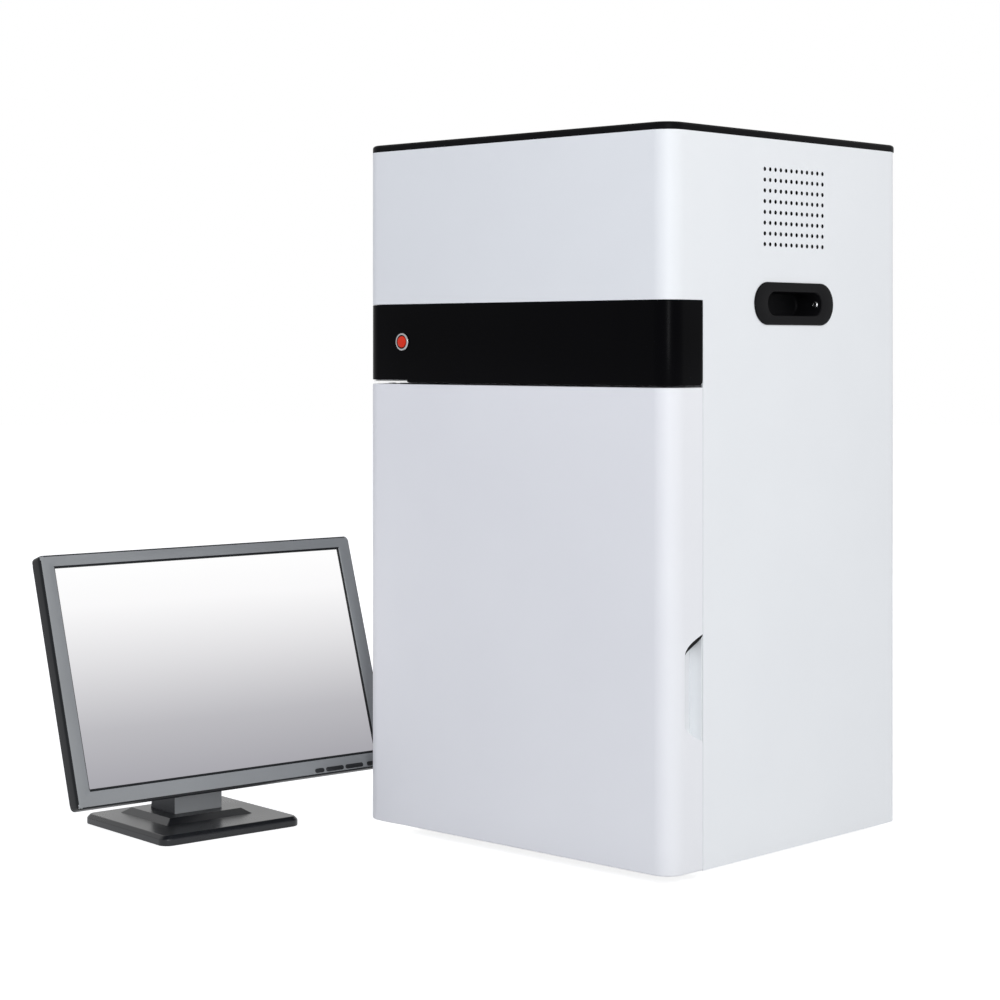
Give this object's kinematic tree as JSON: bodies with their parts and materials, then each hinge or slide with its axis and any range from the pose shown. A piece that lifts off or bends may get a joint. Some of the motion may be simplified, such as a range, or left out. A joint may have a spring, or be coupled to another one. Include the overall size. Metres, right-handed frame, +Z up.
{
  "type": "gel documentation system",
  "caption": "Bench cabinet with a side-hinged light-tight door, UV table, filter wheel and overhead camera, and a tilting desktop display standing beside it.",
  "frame": {"origin": "on the bench, under the middle of the cabinet's footprint", "axes": "+Z up, the door faces -Y, the side with the vents faces +X"},
  "size_m": [0.6892, 0.7484, 0.762],
  "materials": {
    "shell_white": "fine satin powder coat",
    "cap_black": "satin black",
    "sheet_steel": "zinc grey",
    "rubber_black": "matt",
    "band_black": "satin",
    "frame_black": "matt black",
    "plated_steel": "plated",
    "door_white": "fine satin",
    "bush_grey": "nylon",
    "scoop_white": "fine satin",
    "liner_black": "matt",
    "seal_foam": "closed-cell foam",
    "magnet_grey": "ferrite",
    "chrome_ring": "polished",
    "button_red": "gloss",
    "handle_black": "satin",
    "fan_black": "moulded",
    "anodised_black": "black anodised",
    "filter_amber": "interference glass",
    "motor_alloy": "cast ends and laminations",
    "focus_rubber": "ribbed",
    "camera_alloy": "black anodised",
    "window_opal": "opal",
    "case_grey": "textured",
    "holder_white": "moulded",
    "tube_glass": "clear",
    "uv_glass": "deep violet",
    "converter_white": "opal sheet",
    "supply_alloy": "plain",
    "board_green": "resist",
    "switch_black": "gloss",
    "display_grey": "satin",
    "display_dark": "satin",
    "bezel_grey": "satin metallic",
    "screen_gloss": "blank, lit",
    "key_dark": "moulded"
  },
  "bodies": {
    "root": {"cabinet_shell": "shell_white", "top_cap": "cap_black", "rear_panel": "shell_white", "base_pan": "sheet_steel", "rubber_feet": "rubber_black", "camera_deck": "sheet_steel", "front_band": "band_black", "front_frame": "frame_black", "chamber_liner": "frame_black", "lower_hinge_plate": "plated_steel", "upper_hinge_plate": "plated_steel", "hinge_pins": "plated_steel", "catch_magnets": "magnet_grey", "door_sensor": "liner_black", "button_bezel": "chrome_ring", "switch_block": "liner_black", "handle_cup_right": "handle_black", "handle_cup_left": "handle_black", "handle_screws": "plated_steel", "fan_frame": "fan_black", "filter_motor": "motor_alloy", "lens_barrel": "anodised_black", "wheel_bridge": "sheet_steel", "camera_body": "camera_alloy", "camera_bracket": "sheet_steel", "epi_lamps": "anodised_black", "epi_windows": "window_opal", "uv_case": "case_grey", "lamp_holders": "holder_white", "uv_tubes": "tube_glass", "uv_filter": "uv_glass", "converter_plate": "converter_white", "power_supply": "supply_alloy", "control_board": "board_green", "mains_inlet": "liner_black", "data_ports": "liner_black", "panel_screws": "plated_steel", "display_base": "display_grey", "display_neck": "display_dark"},
    "door": {"door_skin": "door_white", "hinge_bushes": "bush_grey", "finger_scoop": "scoop_white", "door_liner": "liner_black", "door_seal": "seal_foam", "catch_strikes": "plated_steel", "door_magnet": "magnet_grey"},
    "start_button": {"button_cap": "button_red"},
    "cooling_fan": {"fan_rotor": "fan_black"},
    "wheel": {"filter_wheel": "anodised_black", "filter_glasses": "filter_amber", "filter_shaft": "plated_steel"},
    "focus": {"focus_ring": "focus_rubber"},
    "rocker": {"power_switch": "switch_black"},
    "display_head": {"display_cover": "display_dark", "display_bezel": "bezel_grey", "display_screen": "screen_gloss"},
    "key_1": {"menu_key_1": "key_dark"},
    "key_2": {"menu_key_2": "key_dark"},
    "key_3": {"menu_key_3": "key_dark"},
    "power_key": {"display_power_key": "key_dark"}
  },
  "joints": [
    {"name": "door_hinge", "type": "hinge", "parent": "root", "child": "door", "pos_m": [-0.198, -0.182, 0.25], "axis": [0, 0, -1], "range_deg": [0, 90]},
    {"name": "start_press", "type": "slide", "parent": "root", "child": "start_button", "axis": [0, 1, 0], "range_m": [0, 0.002], "stiffness_N_per_m": 900},
    {"name": "fan_spin", "type": "hinge", "parent": "root", "child": "cooling_fan", "pos_m": [0.2055, 0.0025, 0.6832], "axis": [1, 0, 0], "continuous": true},
    {"name": "wheel_spin", "type": "hinge", "parent": "root", "child": "wheel", "pos_m": [0.062, 0.025, 0.511], "axis": [0, 0, 1], "continuous": true},
    {"name": "focus_turn", "type": "hinge", "parent": "root", "child": "focus", "pos_m": [0, 0.025, 0.572], "axis": [0, 0, 1], "range_deg": [-60, 60]},
    {"name": "rocker_tip", "type": "hinge", "parent": "root", "child": "rocker", "pos_m": [-0.17, 0.1995, 0.56], "axis": [1, 0, 0], "range_deg": [-16, 0]},
    {"name": "display_tilt", "type": "hinge", "parent": "root", "child": "display_head", "pos_m": [-0.37282, -0.32683, 0.1771], "axis": [0.1132, 0.9936, 0], "range_deg": [-5, 16]},
    {"name": "menu_press_1", "type": "slide", "parent": "display_head", "child": "key_1", "axis": [-0.9449, 0.1077, -0.309], "range_m": [0, 0.0006], "stiffness_N_per_m": 800},
    {"name": "menu_press_2", "type": "slide", "parent": "display_head", "child": "key_2", "axis": [-0.9449, 0.1077, -0.309], "range_m": [0, 0.0006], "stiffness_N_per_m": 800},
    {"name": "menu_press_3", "type": "slide", "parent": "display_head", "child": "key_3", "axis": [-0.9449, 0.1077, -0.309], "range_m": [0, 0.0006], "stiffness_N_per_m": 800},
    {"name": "power_press", "type": "slide", "parent": "display_head", "child": "power_key", "axis": [-0.9449, 0.1077, -0.309], "range_m": [0, 0.0006], "stiffness_N_per_m": 800}
  ]
}
